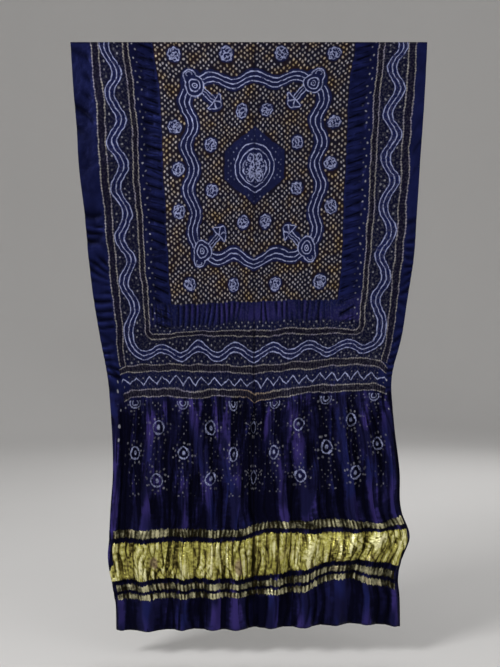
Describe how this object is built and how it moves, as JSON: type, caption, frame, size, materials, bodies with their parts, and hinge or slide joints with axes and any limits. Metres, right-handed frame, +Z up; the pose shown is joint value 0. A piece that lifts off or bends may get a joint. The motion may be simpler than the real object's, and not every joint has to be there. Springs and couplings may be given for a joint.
{
  "type": "bandhani cloth",
  "caption": "Tie-dyed silk wrap with a dotted field, wavy borders, ring motifs and woven gold bands, hanging flat from its top edge in soft vertical folds.",
  "frame": {"origin": "middle of the top edge, on the centre crease", "axes": "+Z up along the cloth's length, +X to the right seen from the front, -Y out of the patterned face towards the viewer"},
  "size_m": [0.904, 0.0421, 1.491],
  "materials": {
    "silk": "soft sheen, tie-dyed, with woven metallic bands"
  },
  "bodies": {
    "root": {"bandhani_cloth": "silk"}
  },
  "joints": []
}
